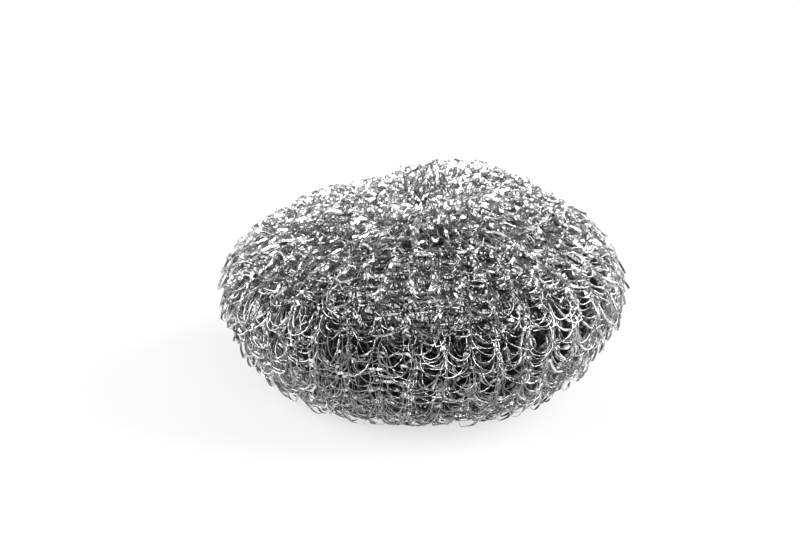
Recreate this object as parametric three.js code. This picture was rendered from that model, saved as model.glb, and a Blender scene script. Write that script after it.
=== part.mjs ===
// A knitted scouring pad: one long tube knitted from bright galvanised flat wire, turned over and over on
// itself into a soft bun about as wide as a hand. The wales, which are the columns of stitches, run like
// meridians from the gathered crown down to the flat spot that the pad stands on. The courses, which are
// the rows of stitches, run round it, and each stitch hangs as a small loop that lifts off the bun.
// Millimetres, +Z up. The origin is on the table, under the middle of the pad, and +X is to the right.

import * as THREE from "three";

// The bun, measured to the ground line that the stitches stand on
const girthDiameter = 94; // across the widest girth, which is round from above
const girthHeight = 24.5; // from the table up to the widest girth
const crownRise = 19; // from the girth up to the crown
const crownFullness = 2.2; // 2 is an ellipse, and more is squarer
const bellyFullness = 1.68; // the same, below the girth
const footRadius = 24; // the flat spot that the pad's weight presses

// The gathered end of the tube, tucked into the middle of the crown
const tuckRadius = 8;
const tuckDepth = 4.5;

// How the pad slumps: it leans up to the right, and has a rounder lump there beside a longer slope
const leanSlope = 0.02; // rise for each millimetre to the right
const lumpRise = 5.8;
const lumpRadius = 26;
const lumpPlace = new THREE.Vector2(12, 14);

// The stitches
const waleCount = 42; // stitches in one turn of the tube
const coursePitch = 3.8; // along the tube, from one row of stitches to the next
const loopLift = 2.1; // how far a loop's hanging end stands off the bun
const loopDroop = 1.1; // how far that end hangs down over the next row
const ribLift = 0.7; // the legs of the loops, twisted together between two wales
const gapDepth = 2.6; // the open eye of the mesh under each loop
const gatherRadius = 17; // inside this distance from the axis the stitches are drawn close and lie flatter
const pressedCourses = 3; // rows next to the flat spot, where the loops are pressed in

const COLUMNS_PER_WALE = 2; // one column of points on a rib, and one down the middle of the loops
const ROWS_PER_COURSE = 2; // one row of points on the loops' ends, and one on the eyes between them
const OUTLINE_DIVISIONS = 400; // how finely the outline is measured before it is divided into rows

// One side of the bun, cut from the edge of the flat spot up to the middle of the crown
class BunOutline extends THREE.Curve {
  getPoint(t, target = new THREE.Vector2()) {
    const girthRadius = girthDiameter / 2;
    if (t < 0.5) {
      const turn = Math.PI * (0.5 - t);
      const out = Math.cos(turn) ** (2 / bellyFullness);
      const down = Math.sin(turn) ** (2 / bellyFullness);
      return target.set(footRadius + (girthRadius - footRadius) * out, girthHeight * (1 - down));
    }
    const turn = Math.PI * (t - 0.5);
    const radius = t < 1 ? girthRadius * Math.cos(turn) ** (2 / crownFullness) : 0;
    const rise = crownRise * Math.sin(turn) ** (2 / crownFullness);
    const tuck = tuckDepth * Math.exp(-((radius / tuckRadius) ** 2));
    return target.set(radius, girthHeight + rise - tuck);
  }
}

// How far a point at this height is free to follow the slump: the flat spot stays on the table
function slumpShare(height) {
  return THREE.MathUtils.smoothstep(height, 0, girthHeight);
}

// Where the lean and the lump take a point of the even bun
function slumped(point) {
  const share = slumpShare(point.z);
  const away = Math.hypot(point.x - lumpPlace.x, point.y - lumpPlace.y) / lumpRadius;
  const aboveGirth = THREE.MathUtils.smoothstep(point.z, girthHeight, girthHeight + crownRise);
  point.z += share * leanSlope * point.x + aboveGirth * lumpRise * Math.exp(-away * away);
  return point;
}

// How far a point of the mesh stands off the bun, and how far it hangs down along it
function stitchRelief(row, column, radius) {
  const onLoop = column % COLUMNS_PER_WALE === 1;
  const onLoopEnd = row % ROWS_PER_COURSE === 0;
  const pressed = THREE.MathUtils.clamp(row / (pressedCourses * ROWS_PER_COURSE), 0, 1);
  const gathered = Math.min(1, radius / gatherRadius);
  const share = pressed * gathered;
  if (!onLoop) return { lift: ribLift * share, droop: 0 };
  if (onLoopEnd) return { lift: loopLift * share, droop: loopDroop * share };
  return { lift: -gapDepth * share, droop: 0 };
}

// The outer form of the bun with its stitches. A turned blank gives the points, which are moved to the knit
function knittedForm() {
  const outline = new BunOutline();
  outline.arcLengthDivisions = OUTLINE_DIVISIONS;
  const rows = Math.round(outline.getLength() / coursePitch) * ROWS_PER_COURSE;
  const columns = waleCount * COLUMNS_PER_WALE;
  const profile = [new THREE.Vector2(0, 0), ...outline.getSpacedPoints(rows)];
  const blank = new THREE.LatheGeometry(profile, columns);
  blank.rotateX(Math.PI / 2);

  const places = blank.attributes.position;
  const normals = blank.attributes.normal;
  const point = new THREE.Vector3();
  const normal = new THREE.Vector3();
  const down = new THREE.Vector3();
  for (let i = 0; i < places.count; i++) {
    const row = (i % profile.length) - 1;
    const column = Math.floor(i / profile.length) % columns;
    point.fromBufferAttribute(places, i);
    if (row > 0 && row < rows) {
      normal.fromBufferAttribute(normals, i);
      const radius = Math.hypot(point.x, point.y);
      down.set((normal.z * point.x) / radius, (normal.z * point.y) / radius, -Math.hypot(normal.x, normal.y));
      const { lift, droop } = stitchRelief(row, column, radius);
      point.addScaledVector(normal, lift).addScaledVector(down, droop);
    }
    slumped(point);
    point.z = Math.max(point.z, 0); // the table presses flat whatever would hang lower
    places.setXYZ(i, point.x, point.y, point.z);
  }
  blank.computeVertexNormals();
  return blank;
}

const galvanised = new THREE.MeshStandardMaterial({ color: 0xc4c6c9, roughness: 0.3, metalness: 1 });

const pad = new THREE.Mesh(knittedForm(), galvanised);
pad.name = "knitted_wire_pad";

// The flat spot isn't quite under the middle of the slumped bun, so the pad is set over the origin by its box
pad.geometry.computeBoundingBox();
const middle = pad.geometry.boundingBox.getCenter(new THREE.Vector3());
pad.position.set(-middle.x, -middle.y, 0);

const scourer = new THREE.Group();
scourer.add(pad);

export default scourer;
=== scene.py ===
# %% [markdown]
# # Dress a knitted wire scouring pad
# The real pad is one long sleeve of knitting. It is made from bright galvanised flat wire, and it is turned
# over and over on itself until it is a soft bun. Nothing else is in it. The CAD part holds the outer form of
# that bun, and this lesson puts the wire itself in its place: first one stitch, then a sleeve of stitches,
# and then the turns of the sleeve, one inside the other.
#
# The frame is loaded first, and the box of the CAD part is measured.

# %% Load the frame
import math
from typing import NamedTuple

import bpy
import numpy as np
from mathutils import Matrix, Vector


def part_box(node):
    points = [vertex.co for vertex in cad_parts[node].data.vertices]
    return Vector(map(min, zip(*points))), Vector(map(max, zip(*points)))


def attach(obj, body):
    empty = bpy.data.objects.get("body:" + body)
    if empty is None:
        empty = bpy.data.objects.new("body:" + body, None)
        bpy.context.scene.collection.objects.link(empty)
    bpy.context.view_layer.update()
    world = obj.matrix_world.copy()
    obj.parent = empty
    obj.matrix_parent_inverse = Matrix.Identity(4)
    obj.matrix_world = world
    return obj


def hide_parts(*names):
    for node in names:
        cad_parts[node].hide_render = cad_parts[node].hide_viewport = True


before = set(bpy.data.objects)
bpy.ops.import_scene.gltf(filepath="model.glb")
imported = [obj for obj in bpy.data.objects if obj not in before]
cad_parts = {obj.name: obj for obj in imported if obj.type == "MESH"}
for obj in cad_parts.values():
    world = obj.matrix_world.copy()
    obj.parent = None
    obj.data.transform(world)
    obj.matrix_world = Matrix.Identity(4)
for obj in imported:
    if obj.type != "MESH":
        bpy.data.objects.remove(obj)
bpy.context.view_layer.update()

MM = 0.001
pad_low, pad_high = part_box("knitted_wire_pad")
print("The CAD pad measures", [round(side / MM, 1) for side in pad_high - pad_low], "mm")

# %% [markdown]
# ## The camera
# The camera comes before the pad, so that each first render can be laid beside the photograph. It looks
# along +Y from 20 degrees above the table. A long lens keeps the bun from bulging towards the viewer. It
# could use lens shift to put the pad a little to the right of the middle, but other views would keep that
# shift. So the camera is turned a little instead, by aiming it beside the pad.

# %% Set up the camera
CAMERA_ELEVATION = math.radians(20)
CAMERA_DISTANCE = 0.458
CAMERA_LENS = 85
NEAREST_SEEN = 0.01
SENSOR_WIDTH = 36
IMAGE_WIDTH, IMAGE_HEIGHT = 800, 533
PAD_MIDDLE = Vector((0, 0, 24 * MM))
PAD_MIDDLE_PIXEL = (421.5, 284)


def add_camera():
    """A camera that sees the pad's middle at its pixel of the photograph."""
    back = Vector((0, -math.cos(CAMERA_ELEVATION), math.sin(CAMERA_ELEVATION)))
    up = Vector((0, math.sin(CAMERA_ELEVATION), math.cos(CAMERA_ELEVATION)))
    metres_a_pixel = CAMERA_DISTANCE * SENSOR_WIDTH / CAMERA_LENS / IMAGE_WIDTH
    aside = (PAD_MIDDLE_PIXEL[0] - IMAGE_WIDTH / 2) * metres_a_pixel
    below = (PAD_MIDDLE_PIXEL[1] - IMAGE_HEIGHT / 2) * metres_a_pixel
    place = PAD_MIDDLE + back * CAMERA_DISTANCE
    aim = PAD_MIDDLE - Vector((aside, 0, 0)) + up * below
    bpy.ops.object.camera_add(location=place)
    camera = bpy.context.object
    camera.name = "photo_camera"
    camera.rotation_euler = (aim - place).to_track_quat("-Z", "Y").to_euler()
    camera.data.lens = CAMERA_LENS
    camera.data.sensor_width = SENSOR_WIDTH
    camera.data.clip_start = NEAREST_SEEN
    bpy.context.scene.camera = camera
    return camera


photo_camera = add_camera()
print("The camera stands at", [round(side, 3) for side in photo_camera.location])

# %% [markdown]
# ## The bun's ground line
# A knit is thick, so it has no one surface. Its ground line is the surface on which the ribs of the knit
# stand, and the hanging loops lift off it. One side of it is drawn as radius and height: flat where the pad
# stands, then a slim belly up to the girth, then a full crown, with a shallow tuck in its middle where the
# sleeve is gathered. Superellipses give the belly and the crown with one number each. The turns inside
# are the same line, drawn in towards the middle of the bun.

# %% Draw one side of the bun
GIRTH_RADIUS = 47 * MM
GIRTH_HEIGHT = 24.5 * MM
CROWN_RISE = 19 * MM
CROWN_FULLNESS = 2.2
BELLY_FULLNESS = 1.68
FOOT_RADIUS = 24 * MM
TUCK_RADIUS = 8 * MM
TUCK_DEPTH = 4.5 * MM
OUTLINE_STEPS = 400
NORMAL_REACH = 0.4 * MM
TINY = 1e-9


class Outline:
    """One side of the bun, this deep inside its ground line. It runs from under the foot to the crown."""

    def __init__(self, depth):
        turn = np.linspace(0, math.pi / 2, OUTLINE_STEPS)
        belly_out = np.sin(turn) ** (2 / BELLY_FULLNESS)
        belly_down = np.cos(turn) ** (2 / BELLY_FULLNESS)
        crown_radius = GIRTH_RADIUS * np.cos(turn[1:]) ** (2 / CROWN_FULLNESS)
        crown_up = np.sin(turn[1:]) ** (2 / CROWN_FULLNESS)
        tuck = TUCK_DEPTH * np.exp(-(crown_radius / TUCK_RADIUS) ** 2)
        radius = np.concatenate([
            np.linspace(0, FOOT_RADIUS, OUTLINE_STEPS)[:-1],
            FOOT_RADIUS + (GIRTH_RADIUS - FOOT_RADIUS) * belly_out,
            crown_radius,
        ])
        height = np.concatenate([
            np.zeros(OUTLINE_STEPS - 1),
            GIRTH_HEIGHT * (1 - belly_down),
            GIRTH_HEIGHT + CROWN_RISE * crown_up - tuck,
        ])
        middle = (GIRTH_HEIGHT + CROWN_RISE) / 2
        self.radius = radius * (1 - depth / GIRTH_RADIUS)
        self.height = middle + (height - middle) * (1 - depth / middle)
        steps = np.hypot(np.diff(self.radius), np.diff(self.height))
        self.along = np.concatenate([[0], np.cumsum(steps)])
        self.length = self.along[-1]

    def at(self, along):
        """Radius, height, and the two parts of the outward normal, at these lengths along the outline."""
        radius = np.interp(along, self.along, self.radius)
        height = np.interp(along, self.along, self.height)
        onward_radius = np.interp(along + NORMAL_REACH, self.along, self.radius)
        back_radius = np.interp(along - NORMAL_REACH, self.along, self.radius)
        onward_height = np.interp(along + NORMAL_REACH, self.along, self.height)
        back_height = np.interp(along - NORMAL_REACH, self.along, self.height)
        out = onward_height - back_height
        up = back_radius - onward_radius
        size = np.maximum(np.hypot(out, up), TINY)
        return radius, height, out / size, up / size


print("One side of the bun is", round(Outline(0).length / MM), "mm along its outline")

# %% [markdown]
# ## The slump
# A soft bun never sits evenly. This one leans up a little to the right, and has a rounder lump at the back
# on that side, beside a longer slope. The same two terms shape the CAD part, so the wire stays on it. The
# slump only moves points up or down, and less so near the table, because the foot is pressed flat there.

# %% Slump the bun
LEAN_SLOPE = 0.02
LUMP_RISE = 5.8 * MM
LUMP_RADIUS = 26 * MM
LUMP_PLACE = (12 * MM, 14 * MM)


def eased(value, start, end):
    """0 at start, 1 at end, and smooth between them."""
    share = np.clip((value - start) / (end - start), 0, 1)
    return share * share * (3 - 2 * share)


def slumped(points):
    """Where the lean and the lump take points of the even bun."""
    free = eased(points[:, 2], 0, GIRTH_HEIGHT)
    above = eased(points[:, 2], GIRTH_HEIGHT, GIRTH_HEIGHT + CROWN_RISE)
    away = np.hypot(points[:, 0] - LUMP_PLACE[0], points[:, 1] - LUMP_PLACE[1]) / LUMP_RADIUS
    points[:, 2] += free * LEAN_SLOPE * points[:, 0] + above * LUMP_RISE * np.exp(-away * away)
    return points


print("The top of the lump is", round(LUMP_RISE / MM, 1), "mm above the even bun")

# %% [markdown]
# ## One stitch
# Each stitch of this knit is a narrow head, hooked through the row above, and a wide loop that hangs between
# two heads like a garland. Two waves draw it as the wire runs on: the height is one cosine, and the place
# along the row is a steady walk with two sines added. The first sine makes the heads narrow and the hanging
# loops wide, and the second makes both of them rounder than a plain wave.

# %% Draw the wire's path in one stitch
WALES = 42
COURSE_PITCH = 3.8 * MM
STITCH_HEIGHT = 5.3 * MM
HEAD_NARROWING = 0.15
ROUNDING = 0.08


def hanging_share(s):
    """0 at the heads, which are at s = 0 and 1, and 1 at the hanging end between them."""
    return (1 - np.cos(2 * math.pi * s)) / 2


def along_row(s):
    """The place along the row, in stitches."""
    return s - HEAD_NARROWING * np.sin(2 * math.pi * s) + ROUNDING * np.sin(4 * math.pi * s)


print("A stitch is", round(2 * math.pi * GIRTH_RADIUS / WALES / MM, 1), "mm wide at the girth")

# %% [markdown]
# ## No two stitches alike
# Every stitch is a little different. Its loop hangs further or stands off more, and leans to one side, and
# its head leans, rises and tilts. All of this is drawn from seeded generators, so that the same pad comes
# out each time. Two turns of the sleeve can have the same stitches but a different tilt of their wire, so
# the stitches and the tilts come from two generators.

# %% Vary the stitches
TALLER_SPREAD = 0.25
STANDING_SPREAD = 0.4
STANDING_LIMITS = (0.3, 1.35)
LEAN_SPREAD = 0.19
HEAD_LEAN_SPREAD = 0.1
HEAD_RISE_SPREAD = 0.5 * MM
TILT_SPREAD = math.radians(8)
HEAD_TILT_SPREAD = math.radians(55)


class Stitches:
    """The points of the wire in one turn: where each lies in its stitch, and what sets that stitch apart."""

    def __init__(self, count, steps, stitch_seed, draw):
        self.number, step = np.divmod(np.arange(count * steps), steps)
        self.s = step / steps
        self.hanging = hanging_share(self.s)
        self.heads = 1 - self.hanging
        nearest_head = self.number + (self.s >= 0.5)
        head_count = count + 1  # the last stitch ends at a head of its own
        stitches = np.random.default_rng(stitch_seed)
        self.taller = stitches.normal(0, TALLER_SPREAD, head_count)[self.number]
        standing = stitches.lognormal(0, STANDING_SPREAD, head_count)
        self.further = np.clip(standing, *STANDING_LIMITS)[self.number]
        self.leaning = stitches.normal(0, LEAN_SPREAD, head_count)[self.number]
        self.head_lean = stitches.normal(0, HEAD_LEAN_SPREAD, head_count)[nearest_head]
        self.head_rise = stitches.normal(0, HEAD_RISE_SPREAD, head_count)[nearest_head]
        self.tilt_change = draw.normal(0, TILT_SPREAD, head_count)[self.number]
        self.head_tilt = draw.normal(0, HEAD_TILT_SPREAD, head_count)[nearest_head]


print("A loop stands off by", STANDING_LIMITS[0], "to", STANDING_LIMITS[1], "times its plain lift")

# %% [markdown]
# ## An uneven sleeve
# Ribs wander, and rows rise and fall, over a few centimetres. A few sine waves added together give such a
# smooth unevenness. The wire itself has small kinks too, which come from a random value at each of its knots
# with even steps between them. Its twist is made in the same way, but it is mostly small and now and then
# large, so that the flat side shows as a fleck of light.

# %% Make things uneven
WIRE_TWIST = math.radians(30)
FLECK_TWIST = math.radians(90)
FLECK_SHARE = 0.15
MOST_WAVES_ROUND = 7
SPARE_KNOTS = 3


def waves(draw, around, along, count, wavelength):
    """A smooth uneven field over the sleeve, from about -1 to 1."""
    field = np.zeros_like(around)
    for _ in range(count):
        waves_round = draw.integers(1, MOST_WAVES_ROUND + 1)
        phase = draw.uniform(0, 2 * math.pi)
        drift = draw.normal(0, 2 * math.pi / wavelength)
        field += np.sin(waves_round * around + drift * along + phase)
    return field / math.sqrt(count)


def knots_along(count, spacing):
    """How many knots there are along so many points, and where each point lies between the knots."""
    knots = int(count / spacing) + SPARE_KNOTS
    return knots, np.linspace(0, knots - 1, count)


def wander(draw, count, spacing):
    """An uneven walk in all three directions."""
    knots, place = knots_along(count, spacing)
    values = draw.normal(0, 1, (knots, 3))
    return np.stack([np.interp(place, np.arange(knots), values[:, side]) for side in range(3)], axis=1)


def twists(draw, count, spacing):
    """The twist along the wire: mostly small, and now and then so large that the flat side shows."""
    knots, place = knots_along(count, spacing)
    values = draw.normal(0, WIRE_TWIST, knots)
    values += (draw.random(knots) < FLECK_SHARE) * draw.normal(0, FLECK_TWIST, knots)
    return np.interp(place, np.arange(knots), values)


print("The wire turns far round at", round(FLECK_SHARE * 100), "in every 100 of its knots")

# %% [markdown]
# ## The rows of one turn
# Round knitting is a spiral, so one turn of the sleeve is a single wire that climbs one row for each time
# round the bun. Its ribs and rows sway, and they sway alike in all the turns, because the turns lie in one
# another. The stitches are shorter at both gathered ends.

# %% Lay the rows
HOLE_RADIUS = 2 * MM
GATHER_RADIUS = 24 * MM
GATHERED_SHORTENING = 0.4
SWAY_SEED = 5
SWAY_WAVES = 5
RIB_SWAY = 0.02
RIB_SWAY_LENGTH = 45 * MM
ROW_SWAY = 0.5 * MM
ROW_SWAY_LENGTH = 40 * MM


class TurnPlan(NamedTuple):
    """How one turn of the sleeve lies in the bun."""

    name: str
    depth: float  # inside the outer turn
    steps: int  # of the wire's path in each stitch
    hang: int  # 1 where the loops hang down, and -1 where they stand up
    shift: float  # along the sleeve, in rows
    phase: float  # round the sleeve, in stitches
    stitch_seed: int  # turns with the same one have the same stitches
    seed: int  # for the tilts, pleats, bulges, kinks and twists


def lay_rows(plan, outline, draw):
    """One turn's stitches, and each point's angle round the bun, length along it and gathering."""
    first = HOLE_RADIUS + plan.shift * COURSE_PITCH
    last = outline.length - HOLE_RADIUS
    count = int((last - first) / COURSE_PITCH) * WALES
    wire = Stitches(count, plan.steps, plan.stitch_seed, draw)
    around = 2 * math.pi * (wire.number + along_row(wire.s) + wire.leaning * wire.hanging**2
                            + wire.head_lean * wire.heads**2 + plan.phase) / WALES
    level = first + (wire.number + wire.s) / WALES * COURSE_PITCH
    sway = np.random.default_rng(SWAY_SEED)
    around += waves(sway, around, level, SWAY_WAVES, RIB_SWAY_LENGTH) * RIB_SWAY
    level += waves(sway, around, level, SWAY_WAVES, ROW_SWAY_LENGTH) * ROW_SWAY
    gathered = 1 - eased(outline.at(level)[0], HOLE_RADIUS, GATHER_RADIUS)
    stitch_height = STITCH_HEIGHT * (1 - GATHERED_SHORTENING * gathered)
    rise = (wire.heads - wire.hanging) / 2 - wire.taller * wire.hanging**2
    return wire, around, level + plan.hang * stitch_height * rise, gathered


print("The outer turn has about", int(Outline(0).length / COURSE_PITCH), "rows of stitches")

# %% [markdown]
# ## The wire off the bun
# The hanging end of a loop stands off the bun, and its head rises a little over the legs that it hooks. Both
# lie flatter on the crown. The sleeve bulges here and there, and falls into pleats at both gathered ends.
# Near the table everything is pressed in, because the pad stands on it.

# %% Lift the wire off the bun
LOOP_LIFT = 2.2 * MM
HANG_SHARPNESS = 1.3
HEAD_LIFT = 1.0 * MM
HEAD_SHARPNESS = 5
CROWN_FLATTENING = 0.45
PLEATS_ROUND = 4
PLEAT_WAVES = 4
PLEAT_DEPTH = 0.8 * MM
PLEAT_LENGTH = 30 * MM
BULGE_WAVES = 6
BULGE_HEIGHT = 0.35 * MM
BULGE_LENGTH = 50 * MM
PRESSED_HEIGHT = 4 * MM
HEAD_PRESSED_IN = 0.9 * MM
LOOP_PRESSED_LESS = 0.5 * MM


def standing_off(wire, around, along, height, up, gathered, draw):
    """How far each point of the wire stands off the bun's ground line."""
    pleats = waves(draw, around * PLEATS_ROUND, along, PLEAT_WAVES, PLEAT_LENGTH) * PLEAT_DEPTH * gathered
    bulges = waves(draw, around, along, BULGE_WAVES, BULGE_LENGTH) * BULGE_HEIGHT
    loop_lift = LOOP_LIFT * wire.further * wire.hanging**HANG_SHARPNESS
    head_lift = (HEAD_LIFT + wire.head_rise) * wire.heads**HEAD_SHARPNESS
    lift = (loop_lift + head_lift) * (1 - CROWN_FLATTENING * np.maximum(up, 0))
    free = eased(height, 0, PRESSED_HEIGHT)
    pressed_in = HEAD_PRESSED_IN - LOOP_PRESSED_LESS * wire.hanging
    return (lift + pleats + bulges) * free - (1 - free) * pressed_in


print("Loops lift", round(LOOP_LIFT / MM, 1), "mm off the bun, and heads", round(HEAD_LIFT / MM, 1), "mm")

# %% [markdown]
# ## The wire's path in one turn
# Now the path can be laid in space. The wire is flat, and it bends the easy way, so it stands on edge in its
# loops: its width points away from the bun, tilted a little. That is why the front of a real pad shows thin
# arcs, and its outline shows broad bright strokes. The wire is kinked a little everywhere, and crumpled on
# top, where the pad is gripped and turned over.

# %% Lay the wire's path
LOOP_TILT = math.radians(24)
CROWN_TILT_LOSS = math.radians(45)
HEAD_TILT_SHARPNESS = 3
CRUMPLED = (0.6, 1)
PLAIN_KINK = 0.12 * MM
CRUMPLED_KINK = 0.34 * MM
GATHERED_KINK = 0.2 * MM
KINKS_IN_STITCH = 11


def sleeve_path(plan, outline, draw):
    """The wire's points, the way its width faces, how far it stands off and how far up the bun faces."""
    wire, around, along, gathered = lay_rows(plan, outline, draw)
    radius, height, out, up = outline.at(np.clip(along, 0, outline.length))
    off = standing_off(wire, around, along, height, up, gathered, draw)
    reach = radius + out * off
    points = np.stack([reach * np.cos(around), reach * np.sin(around), height + up * off], axis=1)
    kinks = PLAIN_KINK + CRUMPLED_KINK * eased(up, *CRUMPLED) + GATHERED_KINK * gathered
    points += wander(draw, len(points), plan.steps / KINKS_IN_STITCH) * kinks[:, None]

    normals = np.stack([out * np.cos(around), out * np.sin(around), up], axis=1)
    uphill = np.stack([-up * np.cos(around), -up * np.sin(around), out], axis=1)
    loop_tilt = (LOOP_TILT - CROWN_TILT_LOSS * up + wire.tilt_change) * wire.hanging
    tilt = (loop_tilt - wire.head_tilt * wire.heads**HEAD_TILT_SHARPNESS)[:, None] * plan.hang
    return slumped(points), normals * np.cos(tilt) + uphill * np.sin(tilt), off, up


print("The wire's kinks grow to about", round((PLAIN_KINK + CRUMPLED_KINK) / MM, 2), "mm on the crown")

# %% [markdown]
# ## The wire's two edges
# Half the wire's width lies on each side of its path. The wire twists about that path, and less so on the
# belly, where the knit hangs evenly. No edge comes nearer to the table than its clearance.

# %% Stand the wire on edge
WIRE_WIDTH = 0.58 * MM
TWISTS_IN_STITCH = 13
BELLY_CALM = 0.42
TABLE_CLEARANCE = 0.3 * MM


def unit(vectors):
    """The same directions with a length of 1."""
    return vectors / np.maximum(np.linalg.norm(vectors, axis=1, keepdims=True), TINY)


def wire_edges(points, faces, up, steps, draw):
    """The two edges of the flat wire, which stands on edge with an uneven twist."""
    onward = unit(np.gradient(points, axis=0))
    across = unit(faces - onward * np.sum(faces * onward, axis=1, keepdims=True))
    aside = np.cross(onward, across)
    calm = BELLY_CALM + (1 - BELLY_CALM) * eased(up, *CRUMPLED)
    twist = (twists(draw, len(points), steps / TWISTS_IN_STITCH) * calm)[:, None]
    half = (across * np.cos(twist) + aside * np.sin(twist)) * WIRE_WIDTH / 2
    low, high = points - half, points + half
    for edge in (low, high):
        edge[:, 2] = np.maximum(edge[:, 2], TABLE_CLEARANCE)
    return low, high


print("The wire is", round(WIRE_WIDTH / MM, 2), "mm wide")

# %% [markdown]
# ## The flat wire
# A curve with a bevel can't hold the wire's width to the bun, so the strip is laid in code, two points for
# each step of the path. Solidify then gives it a thickness, as it would for a strip drawn by hand. The
# strip carries a UV map that runs along and across the wire, and a value that says how much painted shade
# its colour gets for how deep inside the pad it lies.

# %% Make the flat wire
WIRE_THICKNESS = 0.05 * MM
SHARP_ANGLE = math.radians(60)


def add_strip(name, low, high, onward_length, inside):
    """A mesh of one flat strip between two edges, with its UV map and its share of painted shade deep in the
    pad.
    """
    count = len(low)
    corners = np.empty((count * 2, 3))
    corners[0::2], corners[1::2] = low, high
    first = np.arange(count - 1) * 2
    faces = np.stack([first, first + 2, first + 3, first + 1], axis=1)
    mesh = bpy.data.meshes.new(name)
    mesh.from_pydata(corners.tolist(), [], faces.tolist())
    strip_map = mesh.uv_layers.new(name="along_wire")
    along = np.repeat(onward_length, 2)[faces]
    across = np.tile([0.0, 0.0, 1.0, 1.0], (count - 1, 1)) * WIRE_WIDTH
    strip_map.uv.foreach_set("vector", np.stack([along, across], axis=2).astype(np.float32).ravel())
    # Each point's share of painted shade, for how deep it lies in the pad.
    painted_shade_values = mesh.attributes.new("inside", "FLOAT", "POINT")
    painted_shade_values.data.foreach_set("value", np.repeat(inside, 2).astype(np.float32))
    strip = bpy.data.objects.new(name, mesh)
    bpy.context.collection.objects.link(strip)
    return strip


def thicken(strip):
    """Gives a strip the wire's thickness, and keeps its edges sharp."""
    bpy.ops.object.select_all(action="DESELECT")
    strip.select_set(True)
    bpy.context.view_layer.objects.active = strip
    bpy.ops.object.modifier_add(type="SOLIDIFY")
    solidify = strip.modifiers[-1]
    solidify.thickness = WIRE_THICKNESS
    solidify.offset = 0
    bpy.ops.object.modifier_apply(modifier=solidify.name)
    bpy.ops.object.shade_smooth_by_angle(angle=SHARP_ANGLE)


print("The wire is", round(WIRE_THICKNESS / MM, 2), "mm thick")

# %% [markdown]
# ## The turns
# The outermost turn is seen best, so it has the most steps in each stitch. Where the sleeve lies double, two
# turns are close together, stitch in stitch. The first four turns are two such pairs, half a row apart. The
# three turns inside lie further and further in, and the loops of two of them stand up, because turning the
# sleeve over brings its inside out.
#
# The real pad has more wire than these seven turns, and it shades what lies deep in the gaps. The value
# called inside is that shade, painted into the wire's colour: it is 0 for wire that stands well off the bun
# and 1 for wire deep in it, and less on the very top, where painted light stands for light falling in.

# %% Knit the turns
LIT_DEPTH = -1 * MM
DARK_DEPTH = 2.8 * MM
# Painted light: the painted shade is lessened on the very top, as if light fell straight in there.
CROWN_LIGHT = 0.15
CROWN_LIGHT_SHARPNESS = 4
TURN_PLANS = [
    TurnPlan("outer_turn", 0, 18, 1, 0, 0, 31, 11),
    TurnPlan("second_turn", 0.3 * MM, 17, 1, 0.14, 0.04, 31, 12),
    TurnPlan("third_turn", 1.0 * MM, 16, 1, 0.5, 0.27, 32, 13),
    TurnPlan("fourth_turn", 1.4 * MM, 14, 1, 0.64, 0.31, 32, 14),
    TurnPlan("fifth_turn", 3 * MM, 12, -1, 0, 0.7, 33, 15),
    TurnPlan("sixth_turn", 5 * MM, 12, 1, 0.5, 0.2, 34, 16),
    TurnPlan("seventh_turn", 7.4 * MM, 12, -1, 0, 0.6, 35, 17),
]


def painted_shade_share(depth, off, up):
    """0 where the wire is in the light, and 1 where painted shade stands for the shade of the pad."""
    deep = np.clip((depth - off - LIT_DEPTH) / (DARK_DEPTH - LIT_DEPTH), 0, 1)
    return deep * (1 - CROWN_LIGHT * np.maximum(up, 0) ** CROWN_LIGHT_SHARPNESS)


def knit_turn(plan):
    """One turn of the sleeve, as one thick flat wire."""
    draw = np.random.default_rng(plan.seed)
    points, faces, off, up = sleeve_path(plan, Outline(plan.depth), draw)
    low, high = wire_edges(points, faces, up, plan.steps, draw)
    lengths = np.linalg.norm(np.diff(points, axis=0), axis=1)
    onward_length = np.concatenate([[0], np.cumsum(lengths)])
    turn = add_strip(plan.name, low, high, onward_length, painted_shade_share(plan.depth, off, up))
    thicken(turn)
    metres = round(lengths.sum(), 1)
    print(plan.name, "has", metres, "m of wire and", len(turn.data.polygons) * 2, "triangles")
    return turn


turns = [knit_turn(plan) for plan in TURN_PLANS]

# %% [markdown]
# ## The galvanised finish
# Galvanised wire is bright zinc over steel. Rolling the wire flat leaves fine lines along it, and knitting
# leaves small dents in it. The zinc has duller and brighter patches a few millimetres long. Wire deep inside
# the pad gets a painted shade, a near-black colour that stands for the shade of the loops round it. All of
# these are made in one node group that gives out a colour, a roughness and a normal. The metal itself
# stays in the material, as a plain number on the shader.

# %% Make the finish
ZINC_BRIGHT = (0.83, 0.83, 0.825, 1)
ZINC_DULL = (0.56, 0.56, 0.555, 1)
# Painted shade: the near-black colour of wire deep inside the pad, where the knit's loops would shade it.
PAINTED_DEEP_SHADE = (0.05, 0.05, 0.05, 1)
ZINC_ROUGHNESS = 0.1
PATCH_SCALE = 260
PATCH_EDGES = (0.35, 0.65)
LINE_SCALE = (400, 16000, 1)
LINE_ROUGHNESS = 0.2
LINE_STRENGTH = 0.3
LINE_HEIGHT = 0.04 * MM
DENT_SCALE = 1600
DENT_DEPTH = 0.19 * MM


def add_node(tree, kind, inputs=None, **settings):
    """A node with its settings, and with plain values or links on its inputs."""
    node = tree.nodes.new(kind)
    for name, value in settings.items():
        setattr(node, name, value)
    for name, value in (inputs or {}).items():
        if isinstance(value, bpy.types.NodeSocket):
            tree.links.new(value, node.inputs[name])
        else:
            node.inputs[name].default_value = value
    return node


def mixed_colours(tree, share, first, second):
    """A socket with the first colour where the share is 0 and the second where it is 1."""
    mix = add_node(tree, "ShaderNodeMix", {0: share, 6: first, 7: second}, data_type="RGBA")
    return mix.outputs[2]


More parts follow.
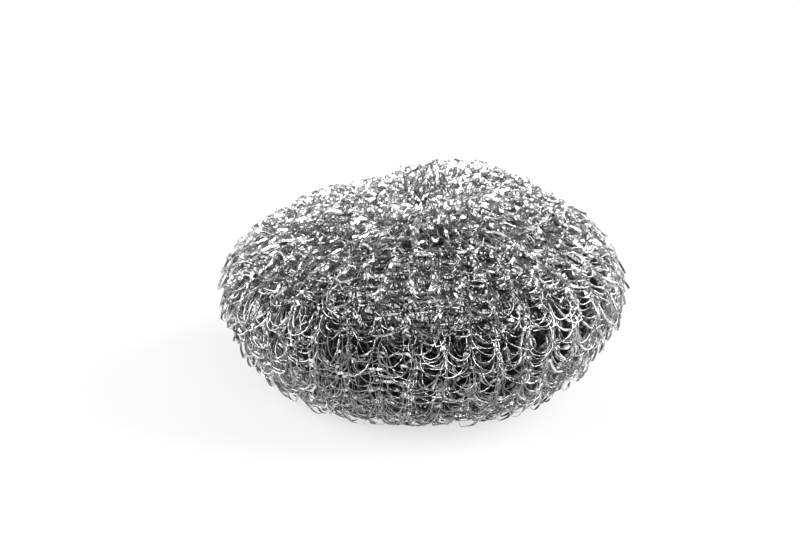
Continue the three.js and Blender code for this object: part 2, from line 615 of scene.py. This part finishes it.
def zinc_and_painted_shade_group():
    """Zinc patches, lines and dents, and painted shade deep in the pad: a colour, a roughness and a normal.
    """
    tree = bpy.data.node_groups.new("zinc_and_painted_shade", "ShaderNodeTree")
    for name in ("Bright", "Dull", "Inside"):
        tree.interface.new_socket(name, in_out="INPUT", socket_type="NodeSocketColor")
    tree.interface.new_socket("Roughness", in_out="INPUT", socket_type="NodeSocketFloat")
    tree.interface.new_socket("Color", in_out="OUTPUT", socket_type="NodeSocketColor")
    tree.interface.new_socket("Roughness", in_out="OUTPUT", socket_type="NodeSocketFloat")
    tree.interface.new_socket("Normal", in_out="OUTPUT", socket_type="NodeSocketVector")
    given = add_node(tree, "NodeGroupInput")

    place = add_node(tree, "ShaderNodeTexCoord")
    patches = add_node(tree, "ShaderNodeTexNoise", {
        "Vector": place.outputs["Object"], "Scale": PATCH_SCALE, "Detail": 3})
    bright_share = add_node(tree, "ShaderNodeMapRange", {
        "Value": patches.outputs["Fac"], "From Min": PATCH_EDGES[0], "From Max": PATCH_EDGES[1]})
    patched = mixed_colours(
        tree, bright_share.outputs["Result"], given.outputs["Dull"], given.outputs["Bright"])
    # Painted shade: deep in the pad the colour is mixed towards near-black.
    depth = add_node(tree, "ShaderNodeAttribute", attribute_name="inside")
    colour = mixed_colours(tree, depth.outputs["Fac"], patched, given.outputs["Inside"])

    strip = add_node(tree, "ShaderNodeUVMap", uv_map="along_wire")
    stretched = add_node(tree, "ShaderNodeMapping", {"Vector": strip.outputs["UV"], "Scale": LINE_SCALE})
    lines = add_node(tree, "ShaderNodeTexNoise", {
        "Vector": stretched.outputs["Vector"], "Scale": 1, "Detail": 2})
    rough = add_node(tree, "ShaderNodeMath", {
        0: lines.outputs["Fac"], 1: LINE_ROUGHNESS, 2: given.outputs["Roughness"]}, operation="MULTIPLY_ADD")
    dents = add_node(tree, "ShaderNodeTexNoise", {
        "Vector": place.outputs["Object"], "Scale": DENT_SCALE, "Detail": 1})
    dented = add_node(tree, "ShaderNodeBump", {
        "Height": dents.outputs["Fac"], "Strength": 1, "Distance": DENT_DEPTH})
    lined = add_node(tree, "ShaderNodeBump", {
        "Height": lines.outputs["Fac"], "Strength": LINE_STRENGTH, "Distance": LINE_HEIGHT,
        "Normal": dented.outputs["Normal"]})
    add_node(tree, "NodeGroupOutput", {
        "Color": colour, "Roughness": rough.outputs[0], "Normal": lined.outputs["Normal"]})
    return tree


def wire_material(name, finish):
    """Bright galvanised wire. The metal is on the shader; the patterns and the painted shade come from the
    group.
    """
    material = bpy.data.materials.new(name)
    material.use_nodes = True
    tree = material.node_tree
    shader = tree.nodes["Principled BSDF"]
    shader.inputs["Metallic"].default_value = 1
    group = add_node(tree, "ShaderNodeGroup", node_tree=finish)
    group.inputs["Bright"].default_value = ZINC_BRIGHT
    group.inputs["Dull"].default_value = ZINC_DULL
    # The painted shade for wire deep inside the pad.
    group.inputs["Inside"].default_value = PAINTED_DEEP_SHADE
    group.inputs["Roughness"].default_value = ZINC_ROUGHNESS
    tree.links.new(group.outputs["Color"], shader.inputs["Base Color"])
    tree.links.new(group.outputs["Roughness"], shader.inputs["Roughness"])
    tree.links.new(group.outputs["Normal"], shader.inputs["Normal"])
    return material


galvanised = wire_material("galvanised_flat_wire", zinc_and_painted_shade_group())
for turn in turns:
    turn.data.materials.append(galvanised)
    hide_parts("knitted_wire_pad")
    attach(turn, "root")
print(len(turns), "turns ride on the part")

# %% [markdown]
# ## The white sweep
# The photograph is a plain product shot on white, with a soft shadow under the pad. The floor and the
# backdrop are one white sweep. Their white comes from the colour of the material, for the camera and for
# what the shiny wire reflects, and not from more light on the pad. Near the pad some of the floor's real
# shading is kept, so that its shadow shows. Further off and along the horizon everything is plain white.

# %% Make the white sweep
WHITE = (1, 1, 1, 1)
FLOOR_COLOUR = (0.62, 0.62, 0.62, 1)
FLOOR_ROUGHNESS = 0.9
FLOOR_SPECULAR = 0.1
FLOOR_SIZE = 20
FLOOR_WHITENESS = 0.62
SHADOW_REACH = (0.3, 0.7)
BACKDROP_DISTANCE = 1.4
BACKDROP_HEIGHT = 1.15
BACKDROP_WIDTH = 3 * BACKDROP_HEIGHT


def sweep_material():
    """White card that keeps a shadow. What the camera or the wire sees of it is mostly plain white."""
    material = bpy.data.materials.new("white_sweep")
    material.use_nodes = True
    tree = material.node_tree
    shader = tree.nodes["Principled BSDF"]
    shader.inputs["Base Color"].default_value = FLOOR_COLOUR
    shader.inputs["Roughness"].default_value = FLOOR_ROUGHNESS
    shader.inputs["Specular IOR Level"].default_value = FLOOR_SPECULAR
    white = add_node(tree, "ShaderNodeEmission", {"Color": WHITE, "Strength": 1})
    path = add_node(tree, "ShaderNodeLightPath")
    seen = add_node(tree, "ShaderNodeMath", {
        0: path.outputs["Is Camera Ray"], 1: path.outputs["Is Glossy Ray"]}, operation="MAXIMUM")
    shown = add_node(tree, "ShaderNodeMath", {
        0: seen.outputs[0], 1: path.outputs["Is Transmission Ray"]}, operation="MAXIMUM")
    place = add_node(tree, "ShaderNodeTexCoord")
    distance = add_node(tree, "ShaderNodeVectorMath", {0: place.outputs["Object"]}, operation="LENGTH")
    whiteness = add_node(tree, "ShaderNodeMapRange", {
        "Value": distance.outputs["Value"], "From Min": SHADOW_REACH[0], "From Max": SHADOW_REACH[1],
        "To Min": FLOOR_WHITENESS, "To Max": 1})
    share = add_node(tree, "ShaderNodeMath", {
        0: shown.outputs[0], 1: whiteness.outputs["Result"]}, operation="MULTIPLY")
    mixed = add_node(tree, "ShaderNodeMixShader", {
        "Fac": share.outputs[0], 1: shader.outputs["BSDF"], 2: white.outputs["Emission"]})
    tree.links.new(mixed.outputs["Shader"], tree.nodes["Material Output"].inputs["Surface"])
    return material


def add_sweep():
    """The floor, and the backdrop behind it."""
    material = sweep_material()
    bpy.ops.object.select_all(action="DESELECT")
    bpy.ops.mesh.primitive_plane_add(size=FLOOR_SIZE)
    floor = bpy.context.object
    floor.name = "pale_floor"
    backdrop_middle = (0, BACKDROP_DISTANCE, BACKDROP_HEIGHT / 2)
    bpy.ops.mesh.primitive_plane_add(size=1, location=backdrop_middle, rotation=(math.radians(90), 0, 0))
    backdrop = bpy.context.object
    backdrop.name = "pale_backdrop"
    backdrop.scale = (BACKDROP_WIDTH, BACKDROP_HEIGHT, 1)
    bpy.ops.object.transform_apply(location=True, rotation=True, scale=True)
    for card in (floor, backdrop):
        card.data.materials.append(material)


add_sweep()
print("The sweep is", FLOOR_SIZE, "m wide, and its backdrop stands", BACKDROP_DISTANCE, "m behind the pad")

# %% [markdown]
# ## The light
# The room round the pad is rather dark, so that the wire has dark sides. Soft lamps above it, in front and
# at both sides give it bright ones. The lamp at the right is the strongest, because the photograph is
# lightest there. The world is white near the horizon, where the sweep would go on, and dimmer above.

# %% Light the pad
ROOM_LEVEL = 0.24
HORIZON_FADE = (0.14, 0.3)
LAMPS = [  # name, place, size and power
    ("top_lamp", (0.25, 0.45, 0.9), 1.2, 3),
    ("right_lamp", (0.95, 0.1, 0.45), 0.9, 25),
    ("left_lamp", (-0.95, 0.0, 0.45), 0.9, 19),
    ("front_lamp", (0.3, -1.1, 0.45), 0.75, 14.5),
]


def add_world():
    """A dim, plain light from above, and white along the horizon."""
    world = bpy.data.worlds.new("plain_studio")
    world.use_nodes = True
    bpy.context.scene.world = world
    tree = world.node_tree
    background = tree.nodes["Background"]
    background.inputs["Color"].default_value = WHITE
    direction = add_node(tree, "ShaderNodeTexCoord")
    height = add_node(tree, "ShaderNodeSeparateXYZ", {"Vector": direction.outputs["Generated"]})
    strength = add_node(tree, "ShaderNodeMapRange", {
        "Value": height.outputs["Z"], "From Min": HORIZON_FADE[0], "From Max": HORIZON_FADE[1],
        "To Min": 1, "To Max": ROOM_LEVEL})
    tree.links.new(strength.outputs["Result"], background.inputs["Strength"])


def add_lamp(name, place, size, power):
    """A soft square lamp that points at the pad."""
    bpy.ops.object.light_add(type="AREA", location=place)
    lamp = bpy.context.object
    lamp.name = name
    lamp.data.size = size
    lamp.data.energy = power
    lamp.rotation_euler = (PAD_MIDDLE - Vector(place)).to_track_quat("-Z", "Y").to_euler()


add_world()
for lamp in LAMPS:
    add_lamp(*lamp)
bpy.context.scene.view_settings.view_transform = "Standard"
print(len(LAMPS), "lamps point at the pad")
